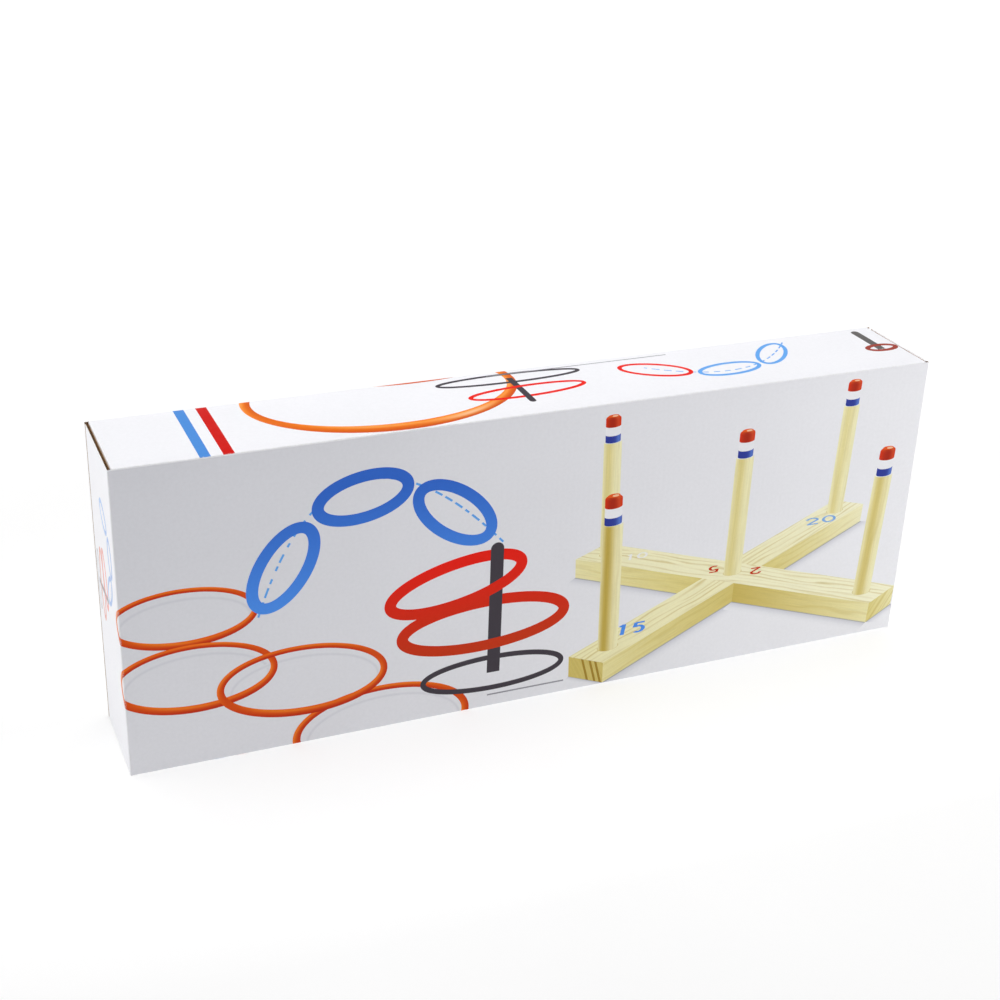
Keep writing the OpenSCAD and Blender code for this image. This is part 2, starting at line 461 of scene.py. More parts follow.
def ellipse_point(centre, half_w, half_h, tilt, angle, out=0.0):
    """A point on an ellipse, or out millimetres outside it, square to its line. Inside, it stops
    short of the line's own centre of curvature."""
    x, y = half_w * math.cos(angle), half_h * math.sin(angle)
    nx, ny = half_h * math.cos(angle), half_w * math.sin(angle)
    size = math.hypot(nx, ny)
    out = max(out, -0.9 * size ** 3 / (half_w * half_h))
    x, y = x + out * nx / size, y + out * ny / size
    c, s = math.cos(tilt), math.sin(tilt)
    return centre[0] + x * c - y * s, centre[1] + x * s + y * c


def stroke_ellipse(art, centre, half_w, half_h, stroke, ink_at, tilt=0.0, start=0.0, end=math.tau,
                   steps=96, bands=1):
    """A ring drawn as a stroke. ink_at(angle, share, point) gives the ink, with share 0 on the
    inner edge and 1 on the outer."""
    rows, inks = [], []
    shares = [band / bands for band in range(bands + 1)]
    for i in range(steps + 1):
        angle = start + (end - start) * i / steps
        width = stroke(angle) if callable(stroke) else stroke
        row = [
            ellipse_point(centre, half_w, half_h, math.radians(tilt), angle, (s - 0.5) * width)
            for s in shares
        ]
        rows.append(row)
        inks.append([ink_at(angle, s, p) for s, p in zip(shares, row)])
    art.grid(rows, inks)


def ring_ink(dark, mid, light, glint=None):
    """A round tube's shading: dark on the lower and outer side, with a light line along its top,
    and with a wide highlight about the angle glint if there is one"""
    def ink(angle, share, point):
        outward_lit = -0.45 * math.cos(angle) - 0.89 * math.sin(angle)
        top_side = 0.5 + (share - 0.5) * outward_lit
        body = mixed(dark, mid, min(1.0, max(0.0, 1.5 * top_side - 0.15)))
        gloss = math.exp(-((top_side - 0.72) / 0.16) ** 2)
        lined = mixed(body, light, gloss * (0.35 + 0.35 * math.sin(angle * 2 + 1.1) ** 2))
        if glint is None:
            return lined
        wide = math.exp(-((angle - glint) / 0.3) ** 2 - ((share - 0.45) / 0.26) ** 2)
        return mixed(lined, (255, 208, 176), 0.85 * wide)
    return ink


# Each stop is a place across the front, and the painted shade's share there at the top and at the foot.
PAINTED_SHADE_STOPS = ((-CREASE, 0.0, 0.0), (CREASE, 0.5, 0.3), (HALF_L, 0.24, 0.16), (LENGTH - 1, 0.06, 0.0))


def painted_shade_tone(u, v):
    """A soft grey painted into the print as shade across the front, deepest at its upper left"""
    u = min(max(u, PAINTED_SHADE_STOPS[0][0]), PAINTED_SHADE_STOPS[-1][0])
    for (u0, top0, foot0), (u1, top1, foot1) in zip(PAINTED_SHADE_STOPS, PAINTED_SHADE_STOPS[1:]):
        if u <= u1:
            share = (u - u0) / (u1 - u0)
            top, foot = top0 + (top1 - top0) * share, foot0 + (foot1 - foot0) * share
            return mixed(WHITE, SHADE, top + (foot - top) * v / HEIGHT)


# painted shade: the grey that stands for the shade across the front, laid under the rest of its print
def painted_shade_ground():
    art = Art()
    corners = [[(u, 1), (u, HEIGHT)] for u, _top, _foot in PAINTED_SHADE_STOPS]
    art.grid(corners, [[painted_shade_tone(*point) for point in pair] for pair in corners])
    return art


def ring_shadow_ink(angle, share, point):
    """The faint shadow under a printed ring, darkest along its middle"""
    fall = max(0.0, 1 - abs(share - 0.5) * 2)
    return mixed(painted_shade_tone(*point), SHADOW, 0.22 * fall ** 1.5)


def faded_down(top, low, top_v, low_v):
    """An ink that runs from one colour to another down the sheet."""
    def ink(angle, share, point):
        return mixed(top, low, min(1.0, max(0.0, (point[1] - top_v) / (low_v - top_v))))
    return ink


def plain(colour):
    return lambda angle, share, point: colour


def rounded_bar(art, u0, v0, u1, v1, ink):
    """An upright bar with a round top"""
    radius = (u1 - u0) / 2
    arc = [math.pi + math.pi * i / 16 for i in range(17)]
    points = [(u0 + radius + radius * math.cos(a), v0 + radius + radius * math.sin(a)) for a in arc]
    art.face(points + [(u1, v1), (u0, v1)], ink)


def dashes(art, points, weight, ink):
    """Short strokes along a smooth line, whose points are close together. Each point's stroke runs
    a little into its neighbours."""
    run, size, gap, overlap = 0.0, 5, 4, 0.2
    for a, b in zip(points, points[1:]):
        run += math.dist(a, b)
        if run % (size + gap) < size:
            along = (Vector(b) - Vector(a)).normalized() * overlap
            straight_stroke(art, Vector(a) - along, Vector(b) + along, weight, ink)


def toss_path(start, peak, end):
    """A toss from start to end, drawn towards the point peak"""
    path, steps = [], 90
    for i in range(steps + 1):
        t = i / steps
        shares = (1 - t) ** 2, 2 * t * (1 - t), t ** 2
        path.append(tuple(sum(s * p[k] for s, p in zip(shares, (start, peak, end))) for k in (0, 1)))
    return path


def rings_on_bar(art, rings, stroke, ink, bar, steps):
    """Rings round an upright dark bar: their far halves lie under it, and their near halves over it"""
    for centre, half_w, half_h, tilt in rings:
        stroke_ellipse(art, centre, half_w, half_h, stroke, ink, tilt, math.pi, steps=steps)
    rounded_bar(art, *bar, DARK)
    for centre, half_w, half_h, tilt in reversed(rings):
        stroke_ellipse(art, centre, half_w, half_h, stroke, ink, tilt, end=math.pi, steps=steps)


def tossing_sign():
    """The sign that stands for the game, 238 wide and 205 high: blue rings in flight along a dashed
    line, and two red rings that come down round a dark peg."""
    art = Art()
    blue = faded_down(BLUE_TOP, BLUE_LOW, 20, 100)
    red = faded_down(RED_TOP, RED_LOW, 86, 158)
    dashes(art, toss_path((8, 104), (62, -62), (184, 76)), 1.6, SKY)
    for centre, half_w, half_h, tilt in (((26, 70), 32, 16, -58), ((82, 26), 32, 15, -10),
                                         ((148, 48), 32, 16, 38)):
        stroke_ellipse(art, centre, half_w, half_h, 8.4, blue, tilt)
    stroke_ellipse(art, (180, 182), 54, 13, 4.2, plain(DARK), steps=80)
    rings_on_bar(art, (((172, 140), 62, 18, -2), ((150, 104), 50, 16, -12)), 8.6, red,
                 (175, 76, 185, 182), steps=64)
    rectangle(art, 176, 200.4, 237, 201.6, GREY)
    return art


def tossing_line():
    """The same sign set in one line, 287 wide and 56 high, drawn in thin strokes."""
    art = Art()
    dashes(art, toss_path((2, 50), (60, -20), (128, 34)), 1.2, SKY)
    stroke_ellipse(art, (22, 32), 22, 10, 3.2, plain(SKY), tilt=-50)
    stroke_ellipse(art, (68, 14), 25, 10, 3.2, plain(SKY), tilt=-4)
    stroke_ellipse(art, (122, 28), 26, 11, 3.4, plain(RED_TOP), tilt=26)
    stroke_ellipse(art, (230, 46), 54, 8, 3.2, plain(DARK), steps=80)
    rings_on_bar(art, (((226, 20), 44, 9, -3),), 3.4, plain(RED_TOP), (227.5, 0, 232.5, 46), steps=48)
    rectangle(art, 100, 53.5, 244, 54.7, GREY)
    return art


DIGITS = {
    "0": [("oval", 0.5, 0.5, 0.42, 0.44, 0, 360)],
    "1": [("line", (0.28, 0.2), (0.6, 0.06)), ("line", (0.56, 0.0), (0.56, 1.0))],
    "2": [("oval", 0.5, 0.3, 0.38, 0.25, 180, 395), ("line", (0.8, 0.44), (0.14, 0.94)),
          ("line", (0.1, 0.94), (0.92, 0.94))],
    "5": [("line", (0.88, 0.06), (0.24, 0.06)), ("line", (0.24, 0.02), (0.18, 0.47)),
          ("oval", 0.48, 0.66, 0.36, 0.29, 228, 490)],
}


def digit(art, figure, left, top, width, height, weight, ink):
    """A score number's figure, drawn in round strokes inside its box."""
    for kind, *stroke in DIGITS[figure]:
        if kind == "oval":
            x, y, half_w, half_h, start, end = stroke
            stroke_ellipse(art, (left + x * width, top + y * height), half_w * width,
                           half_h * height, weight, plain(ink), start=math.radians(start),
                           end=math.radians(end), steps=28)
        else:
            ends = [(left + x * width, top + y * height) for x, y in stroke]
            straight_stroke(art, *ends, weight, ink)


# ---------------------------------------------------------------- the picture of the game

bar_low, bar_high = box_mm("base_bar_upper")
peg_low, peg_high = box_mm("peg_1")
BAR_HALF = (bar_high.x - bar_low.x) / 2
BAR_W = bar_high.z - bar_low.z
BAR_T = bar_high.y - bar_low.y
PEG_R = (peg_high.z - peg_low.z) / 2
PEG_OUT = 253
PRINTED_PEG_UP = 210
RED_BAND, WHITE_BAND, BLUE_BAND = 13.5, 25.5, 35.5


class Picture:
    """Draws the game, put together, in perspective, as the picture on the carton shows it."""

    def __init__(self, middle, turn=39.3, height=22.1, roll=0.5, distance=2123, scale=1222):
        a, e, r = math.radians(turn), math.radians(height), math.radians(roll)
        self.back = Vector((math.sin(a) * math.cos(e), -math.cos(a) * math.cos(e), math.sin(e)))
        level = Vector((math.cos(a), math.sin(a), 0))
        steep = self.back.cross(level)
        self.right = math.cos(r) * level + math.sin(r) * steep
        self.up = math.cos(r) * steep - math.sin(r) * level
        self.eye = self.back * distance
        self.middle, self.scale = middle, scale
        self.art = Art()

    def flat(self, point):
        """Where a point of the game falls on the sheet"""
        seen = Vector(point) - self.eye
        away = -seen.dot(self.back)
        return (
            self.middle[0] + self.scale * seen.dot(self.right) / away,
            self.middle[1] - self.scale * seen.dot(self.up) / away,
        )

    def wood_face(self, corner, along, across, near_ink, far_ink, grain, steps=18, slant=0.0):
        """A flat face of the wood: corner + along * s + across * t, shaded from near to far. The
        grain runs along it, or crosses it at a slant."""
        lanes = 4
        corner, along, across = Vector(corner), Vector(along), Vector(across)
        held_back = 0.5 if across.z and not slant else 0.1
        rows, inks, grains = [], [], []
        for i in range(steps + 1):
            s = i / steps
            row = [corner + along * s + across * (j / lanes) for j in range(lanes + 1)]
            rows.append([self.flat(p) for p in row])
            inks.append([mixed(near_ink, far_ink, s)] * (lanes + 1))
            grains.append([
                (grain[0] + along.length * s,
                 grain[1] + across.length * j / lanes + slant * along.length * s, held_back)
                for j in range(lanes + 1)
            ])
        self.art.grid(rows, inks, grains)

    def end_rings(self, corner, along, up, starts, lean, width, ink):
        """The dark growth rings on a bar's sawn end, as bands that lean across it"""
        corner, along, up = Vector(corner), Vector(along), Vector(up)
        for start in starts:
            rows = [
                [corner + along * min(1.0, max(0.0, start + lean * t + side)) + up * t
                 for side in (0.0, width)]
                for t in (0.0, 0.5, 1.0)
            ]
            self.art.grid([[self.flat(p) for p in row] for row in rows], [[ink, ink]] * 3)

    def shadow(self, start, end, side):
        """A soft shadow on the ground beside an edge, darkest at the edge"""
        start, end, side = Vector(start), Vector(end), Vector(side)
        shares = (0.0, 0.12, 0.35, 0.65, 1.0)
        rows = [[self.flat(p + side * s) for s in shares] for p in (start, (start + end) / 2, end)]
        inks = [
            [mixed(painted_shade_tone(*point), SHADOW if s else DARK, 0.6 * (1 - s) ** 2)
             for point, s in zip(row, shares)]
            for row in rows
        ]
        self.art.grid(rows, inks)

    def tube(self, foot, low, high, low_r, high_r, ink_at, grain=0.0):
        """The near half of an upright round peg between two heights"""
        facing, steps = math.atan2(self.back.y, self.back.x), 16
        rows, inks, grains = [], [], []
        for i in range(steps + 1):
            side = -math.pi / 2 + math.pi * i / steps
            out = Vector((math.cos(facing + side), math.sin(facing + side), 0))
            ends = [Vector((foot[0], foot[1], low)) + out * low_r,
                    Vector((foot[0], foot[1], high)) + out * high_r]
            rows.append([self.flat(p) for p in ends])
            inks.append([ink_at(side)] * 2)
            grains.append([(grain + z, 9 * side + grain, 0.6) for z in (low, high)])
        self.art.grid(rows, inks, grains if grain else None)

    def disc(self, foot, height, radius, ink):
        ring = [math.tau * i / 28 for i in range(28)]
        self.art.face([
            self.flat((foot[0] + radius * math.cos(a), foot[1] + radius * math.sin(a), height))
            for a in ring
        ], ink)

    def peg(self, foot, near, up=PRINTED_PEG_UP):
        """A pine peg with painted bands; near pegs are printed darker"""
        def wood(side):
            shade = math.exp(-((side + 0.35) / 0.6) ** 2)
            tone = mixed(PINE_MID, PINE_DEEP, 0.15 + 0.75 * near)
            return mixed(mixed(PINE_MID, PINE_PALE, 0.7), tone, shade * (0.5 + 0.5 * near))

        def gloss(colour):
            def ink(side):
                lit = math.exp(-((side - 0.75) / 0.35) ** 2)
                shaded = mixed(colour, (140, 24, 0), 0.6 * math.exp(-((side + 0.05) / 0.75) ** 2))
                return mixed(shaded, WHITE, 0.12 * lit)
            return ink

        def blue_band(side):
            return mixed(PEG_BLUE, (104, 146, 226), 0.7 * math.exp(-((side - 0.95) / 0.5) ** 2))

        self.disc(foot, 0.3, PEG_R * 1.1, mixed(PINE_MID, PINE_DEEP, 0.45))
        blue, white, red, crown = up - BLUE_BAND, up - WHITE_BAND, up - RED_BAND, up - 4
        self.tube(foot, 0, blue, PEG_R * 1.03, PEG_R, wood, grain=40 + foot[0] + foot[1] / 7)
        tip_r = PEG_R * 0.8448
        self.tube(foot, blue, white, tip_r, tip_r, blue_band)
        self.tube(foot, white, red, tip_r, tip_r, lambda side: PEG_WHITE)
        self.tube(foot, red, crown, tip_r, tip_r, gloss(PEG_RED))
        for i in range(4):
            lower, upper = math.radians(22.5 * i), math.radians(22.5 * (i + 1))
            self.tube(foot, crown + 4 * math.sin(lower), crown + 4 * math.sin(upper),
                      tip_r - 4 * (1 - math.cos(lower)), tip_r - 4 * (1 - math.cos(upper)),
                      gloss(mixed(PEG_RED, (236, 96, 30), i / 4)))
        self.disc(foot, up, tip_r - 3, mixed(PEG_RED, (236, 100, 34), 0.8))
        self.disc((foot[0] + 2, foot[1] + 1), up, tip_r * 0.38, (250, 200, 160))

    def number(self, figures, at, ink, size, weight, turned=False):
        """Figures printed on top of the bars, upright to a player in front or behind"""
        art = Art()
        for i, figure in enumerate(figures):
            left = size[0] * 1.25 * (i - (len(figures) - 0.2) / 2)
            digit(art, figure, left, -size[1] / 2, *size, weight, ink)
        sign = -1 if turned else 1
        right = Vector((self.right.x, self.right.y, 0)).normalized() * sign
        down = Vector((right.y, -right.x, 0))
        self.art += art.moved(lambda u, v: self.flat(Vector((*at, 0)) + right * u + down * v))

    def shadows(self):
        """What the game's wood throws on the paper, which lies under the rest of the print"""
        q, w, t = BAR_HALF, BAR_W / 2, BAR_T
        for start, end, side in (
            ((w, -q, -t), (w, -w, -t), (26, 6, 0)), ((w, w, -t), (w, q, -t), (26, 6, 0)),
            ((-q, -w, -t), (-w, -w, -t), (6, -26, 0)), ((w, -w, -t), (q, -w, -t), (6, -26, 0)),
            ((-w, -q, -t), (w, -q, -t), (4, -10, 0)), ((q, -w, -t), (q, w, -t), (16, 4, 0)),
        ):
            self.shadow(start, end, side)
        return self.art

    def game(self):
        """The two crossed bars with their numbers, and the five pegs, the furthest first"""
        q, w, t = BAR_HALF, BAR_W / 2, BAR_T
        arm_x, arm_y, wide, high = (q - w, 0, 0), (0, q - w, 0), (2 * w, 0, 0), (0, 0, t)
        side_near, side_far = mixed(PINE_MID, PINE_DEEP, 0.2), mixed(PINE_MID, PINE_PALE, 0.45)
        top_near, top_far = mixed(PINE_MID, PINE_PALE, 0.78), PINE_PALE
        end_near = mixed(PINE_MID, PINE_DEEP, 0.5)

        # the arm that points away, and the left arm's side
        self.wood_face((w, w, -t), arm_y, high, side_near, mixed(side_far, PINE_PALE, 0.6), (20, 160))
        self.wood_face((-q, -w, -t), arm_x, high, side_far, side_near, (500, 90))
        self.wood_face((-w, w, 0), arm_y, wide, top_near, top_far, (0, 10))
        self.peg((0, PEG_OUT), 0.1, PRINTED_PEG_UP - 4)

        # the near arm, the right arm's side and the bar on top
        self.wood_face((w, -q, -t), arm_y, high, mixed(side_far, side_near, 0.3),
                       mixed(side_near, PINE_DEEP, 0.2), (900, 40))
        self.wood_face((w, -w, -t), arm_x, high, mixed(side_near, PINE_DEEP, 0.55), side_far,
                       (1300, 60))
        self.wood_face((-w, -q, 0), arm_y, wide, mixed(top_near, PINE_MID, 0.2), top_near, (1700, 10))
        self.wood_face((-q, -w, 0), (2 * q, 0, 0), (0, 2 * w, 0), top_near, top_far, (2200, 80), 36)

        # the sawn ends
        self.wood_face((-w, -q, -t), wide, high, end_near, mixed(end_near, PINE_MID, 0.2), (0, 0), 8,
                       slant=1.3)
        self.end_rings((-w, -q, -t), wide, high, (0.52, 0.74, 0.9), -0.16, 0.07,
                       mixed(PINE_DEEP, (140, 104, 30), 0.5))
        self.wood_face((q, -w, -t), (0, 2 * w, 0), high, mixed(PINE_MID, PINE_DEEP, 0.15),
                       mixed(PINE_MID, PINE_PALE, 0.5), (60, 0), 8, slant=-0.8)

        self.number("15", (-12, -198), BLUE_LOW, (18, 36), 5.5)
        self.number("20", (3, 212), mixed(BLUE_LOW, PINE_PALE, 0.3), (22, 30), 4.6)
        self.number("10", (-203, 6), mixed(WHITE, PINE_PALE, 0.2), (15, 24), 3.6)
        self.number("5", (-38, 1), RED_LOW, (17, 26), 4.2, turned=True)
        self.number("2", (34, 15), RED_LOW, (17, 26), 4.2, turned=True)
        self.peg((-PEG_OUT - 2, 0), 0.3, PRINTED_PEG_UP - 2)
        self.peg((0, 0), 0.25)
        self.peg((PEG_OUT, 0), 0.55, PRINTED_PEG_UP - 1)
        self.peg((0, -PEG_OUT), 1.0)
        return self.art


# ---------------------------------------------------------------- art on each side


def tossed_rings():
    """The rings that lie at the front's left, and run on round the fold and off the bottom"""
    art = Art()
    rings = (
        ((41.4, 113.2), 48.8, 20.2, 3.8, 1), ((47.4, 160.4), 54.4, 24.2, 4.3, 1),
        ((179.6, 226), 63.4, 30.4, 5, 0), ((122.3, 177), 58.3, 25.6, 4.5, 2),
    )
    for (u, v), half_w, half_h, _stroke, tilt in rings:
        stroke_ellipse(art, (u + 1.5, v + 4.5), half_w * 0.9, half_h * 0.9, 3.2, ring_shadow_ink,
                       tilt, bands=2)
    for centre, half_w, half_h, stroke, tilt in rings:
        def nearer_is_thicker(angle, stroke=stroke):
            return stroke * (1.15 + 0.25 * math.sin(angle))

        stroke_ellipse(art, centre, half_w, half_h, nearer_is_thicker,
                       ring_ink(RING_DARK, RING_MID, RING_LIGHT), tilt, steps=120, bands=6)
    return art


def front_art():
    sign = tossing_sign().moved(lambda u, v: (84 + u, 18 + v))
    middle = (457.2, 151.7)
    # the front's print is laid over a painted shade, deepest at its upper left
    return painted_shade_ground() + Picture(middle).shadows() + tossed_rings() + sign + Picture(middle).game()


def top_art():
    """Two stripes that run across, two big rings, the sign in one line, and a small mark at the end"""
    art = Art()
    rectangle(art, 58.2, -2, 65.4, DEPTH + 2, (76, 142, 220))
    rectangle(art, 73.4, -2, 80.8, DEPTH + 2, (208, 10, 0))
    inks = TOP_RING_DARK, TOP_RING_MID, TOP_RING_LIGHT
    stroke_ellipse(art, (230, -52), 99, 52, 7, ring_ink(*inks), steps=160, bands=6)
    stroke_ellipse(art, (201, 12), 95.5, 61, lambda a: 7 + 4.5 * math.sin(a) ** 2,
                   ring_ink(*inks, glint=1.05), steps=160, bands=8)
    art += tossing_line().moved(lambda u, v: (526 - u, 61 - v))
    rounded_bar(art, 587.5, 6, 594, 46, (98, 95, 94))
    stroke_ellipse(art, (592.5, 43), 12, 5.5, 4, plain((160, 58, 42)), steps=64)
    return art


def end_art(side):
    """The small sign that runs down an end, turned a quarter, in paler inks: a painted sheen over the
    end's print
    """
    sign = tossing_sign().faded(0.58)
    if side < 0:
        return sign.moved(lambda u, v: (-8 - 0.33 * v, 36 + 0.42 * u))
    return sign.moved(lambda u, v: (LENGTH + 8 + 0.33 * v, 136 - 0.42 * u))


# ---------------------------------------------------------------- boards


def rounded(distance, depth):
    """Turns a point of a sheet round a fixed crease. distance is how far it is from the corner on
    the flat sheet, and the corner's two sheets meet at 45 degrees."""
    if distance >= CREASE:
        return distance, depth
    angle = (1 - distance / CREASE) * math.pi / 4
    reach = CREASE + depth
    return CREASE - reach * math.sin(angle), reach * math.cos(angle) - CREASE


SLACK = 0.01  # added to a step's size, so that rounding doesn't add a step


def steps_between(start, end, size):
    count = max(1, math.ceil(abs(end - start) / size))
    return [start + (end - start) * i / count for i in range(count + 1)]


class Sheet:
    """A flat piece of the blank. u runs across the flutes and v along them, in millimetres on the
    printed side. A side is "fixed" where it folds into a panel that doesn't move, "hinge" where a
    moving crease takes over, and "cut" where it ends."""

    def __init__(self, origin, u_axis, v_axis, normal, u_range, v_range, sides, bulge=0.0):
        self.origin, self.normal = Vector(origin), Vector(normal)
        self.u_axis, self.v_axis = Vector(u_axis), Vector(v_axis)
        self.u_range = u_range
        self.v_range = v_range if callable(v_range) else (lambda u: v_range)
        self.sides = dict(zip(("u0", "u1", "v0", "v1"), sides))
        self.bulge = bulge
        self.inner_gap = BOARD  # how far the inner liner stops short of a hinge side

    def place(self, u, v, depth=0.0):
        (u0, u1), (v0, v1) = self.u_range, self.v_range(u)
        swell = math.sin(math.pi * (u - u0) / (u1 - u0)) * math.sin(math.pi * (v - v0) / (v1 - v0))
        out = depth + self.bulge * swell
        at = [u, v]
        edges = (0, u0, 1), (0, u1, -1), (1, v0, 1), (1, v1, -1)
        for kind, (axis, edge, inward) in zip(self.sides.values(), edges):
            away = (at[axis] - edge) * inward
            if kind == "fixed" and away < CREASE:
                near, sunk = rounded(away, depth)
                at[axis] = edge + near * inward
                out += sunk - depth
        return (self.origin + self.u_axis * at[0] + self.v_axis * at[1] + self.normal * out) * MM

    def lines(self, low, high, low_side, high_side, size):
        """Grid lines between two sides, set close together round a fixed crease"""
        turn = [0, CREASE / 3, CREASE * 2 / 3]
        starts = [low + t for t in turn] if low_side == "fixed" else []
        ends = [high - t for t in reversed(turn)] if high_side == "fixed" else []
        first = low if low_side == "cut" else low + CREASE
        last = high if high_side == "cut" else high - CREASE
        return starts + steps_between(first, last, size) + ends

    def u_lines(self, size):
        return self.lines(*self.u_range, self.sides["u0"], self.sides["u1"], size)

    def v_lines(self, u, count):
        v0, v1 = self.v_range(u)
        size = (v1 - v0) / count + SLACK
        return self.lines(v0, v1, self.sides["v0"], self.sides["v1"], size)

    def inset(self, side):
        return {"fixed": BOARD, "hinge": self.inner_gap, "cut": 0.0}[self.sides[side]]

    def wear(self, u, v):
        """How far the print is rubbed: only over the creases that the sheet carries"""
        (u0, u1), (v0, v1) = self.u_range, self.v_range(u)
        away = {"u0": u - u0, "u1": u1 - u, "v0": v - v0, "v1": v1 - v}
        folded = [away[side] for side, kind in self.sides.items() if kind == "fixed"]
        return max(0.0, 1 - min(folded, default=CREASE) / CREASE) * CREASE_WEAR


class Fold:
    """A moving crease between two sheets that meet at a corner line. It has a Sheet's manners, so
    the print runs on over it; u counts down from the first sheet to the second, through corner_u."""

    def __init__(self, corner, first, second, v_axis, corner_u, u_sign, v_range, v_fixed=False):
        self.corner, self.v_axis = Vector(corner), Vector(v_axis)
        self.first, self.second = Vector(first).normalized(), Vector(second).normalized()
        self.corner_u, self.u_sign = corner_u, u_sign
        self.v0, self.v1 = v_range
        self.v_fixed = v_fixed
        inside = self.first.angle(self.second)
        self.turn = math.pi - inside
        self.radius = CREASE / math.tan(self.turn / 2)
        middle = (self.first + self.second).normalized()
        self.centre = self.corner + middle * math.hypot(CREASE, self.radius)
        self.first_out = (self.corner + self.first * CREASE - self.centre).normalized()
        self.second_out = (self.corner + self.second * CREASE - self.centre).normalized()
        self.inner_reach = BOARD / math.tan(inside / 2) + 0.15
        self.u_range = tuple(sorted((corner_u - CREASE, corner_u + CREASE)))

    def place(self, u, v, depth=0.0):
        share = 0.5 - self.u_sign * (u - self.corner_u) / CREASE / 2
        if self.v_fixed:
            for edge, sign in ((self.v0, 1), (self.v1, -1)):
                if (v - edge) * sign < CREASE:
                    near, depth = rounded((v - edge) * sign, depth)
                    v = edge + near * sign
                    break
        out = (self.first_out * math.sin((1 - share) * self.turn)
               + self.second_out * math.sin(share * self.turn)) / math.sin(self.turn)
        return (self.centre + out * (self.radius + depth) + self.v_axis * v) * MM

    def u_lines(self, size):
        return steps_between(*self.u_range, 2 * CREASE / 8)

    def v_lines(self, u, count):
        turn = [CREASE * i / 3 for i in range(4)] if self.v_fixed else [0.0]
        middle = steps_between(self.v0 + turn[-1], self.v1 - turn[-1], (self.v1 - self.v0) / count)
        return [self.v0 + t for t in turn[:-1]] + middle + [self.v1 - t for t in reversed(turn[:-1])]

    def wear(self, u, v):
        return max(0.0, 1 - abs(u - self.corner_u) / CREASE) * CREASE_WEAR

    def flat_end(self, which, reach, depth, v):
        along, out = ((self.first, self.first_out), (self.second, self.second_out))[which]
        return (self.corner + along * reach + out * depth + self.v_axis * v) * MM


class MeshParts:
    """Collects the vertices and faces of one piece, with what its materials read."""

    def __init__(self):
        self.points, self.sheet, self.wear = [], [], []
        self.faces, self.slots, self.inks, self.grains = [], [], [], []

    def point(self, place, sheet=(0, 0, 0), wear=0.0):
        self.points.append(place)
        self.sheet.append(sheet)
        self.wear.append(wear)
        return len(self.points) - 1

    def face(self, corners, slot, inks=None, grains=None):
        self.faces.append(corners)
        self.slots.append(slot)
        self.inks.append(inks or [WHITE] * len(corners))
        self.grains.append(grains or [(0, 0, 0)] * len(corners))

    def piece(self, name, materials, smooth_angle=30):
        mesh = bpy.data.meshes.new(name)
        mesh.from_pydata([tuple(p) for p in self.points], [], self.faces)
        for material in materials:
            mesh.materials.append(material)
        mesh.polygons.foreach_set("material_index", self.slots)
        mesh.polygons.foreach_set("use_smooth", [True] * len(self.faces))
        ink = mesh.color_attributes.new("ink", "FLOAT_COLOR", "CORNER")
        ink.data.foreach_set("color", [c for face in self.inks for k in face for c in rgba(k)])
        grain = mesh.attributes.new("grain", "FLOAT_VECTOR", "CORNER")
        grain.data.foreach_set("vector", [c for face in self.grains for g in face for c in g])
        sheet = mesh.attributes.new("sheet", "FLOAT_VECTOR", "POINT")
        sheet.data.foreach_set("vector", [c for point in self.sheet for c in point])
        wear = mesh.attributes.new("wear", "FLOAT", "POINT")
        wear.data.foreach_set("value", self.wear)
        mesh.set_sharp_from_angle(angle=math.radians(smooth_angle))
        mesh.update()
        thing = bpy.data.objects.new(name, mesh)
        bpy.context.scene.collection.objects.link(thing)
        return thing


INK, WOOD, CORE, BROWN = range(4)
BOARD_MATERIALS = [PRINTED_FACE, PRINTED_WOOD, PAPER_CORE, KRAFT]


def at_point(face, point):
    """The ink and the grain of a printed face at a point inside it"""
    points, inks, grains = face
    if grains is None and all(ink == inks[0] for ink in inks):
        return inks[0], (0, 0, 0)
    weights = poly_3d_calc([Vector((*p, 0)) for p in points], Vector((*point, 0)))
    ink = tuple(sum(w * c[i] for w, c in zip(weights, inks)) for i in range(3))
    if grains is None:
        return ink, (0, 0, 0)
    return ink, tuple(sum(w * g[i] for w, g in zip(weights, grains)) for i in range(3))


def touches(face, u0, u1, v0, v1):
    us, vs = [p[0] for p in face[0]], [p[1] for p in face[0]]
    return max(us) > u0 and min(us) < u1 and max(vs) > v0 and min(vs) < v1


def holds(points, spot):
    """Whether an outline of flat points goes round a spot"""
    inside = False
    for (u0, v0), (u1, v1) in zip(points, points[1:] + points[:1]):
        if (v0 > spot.y) != (v1 > spot.y) and spot.x < u0 + (spot.y - v0) / (v1 - v0) * (u1 - u0):
            inside = not inside
    return inside


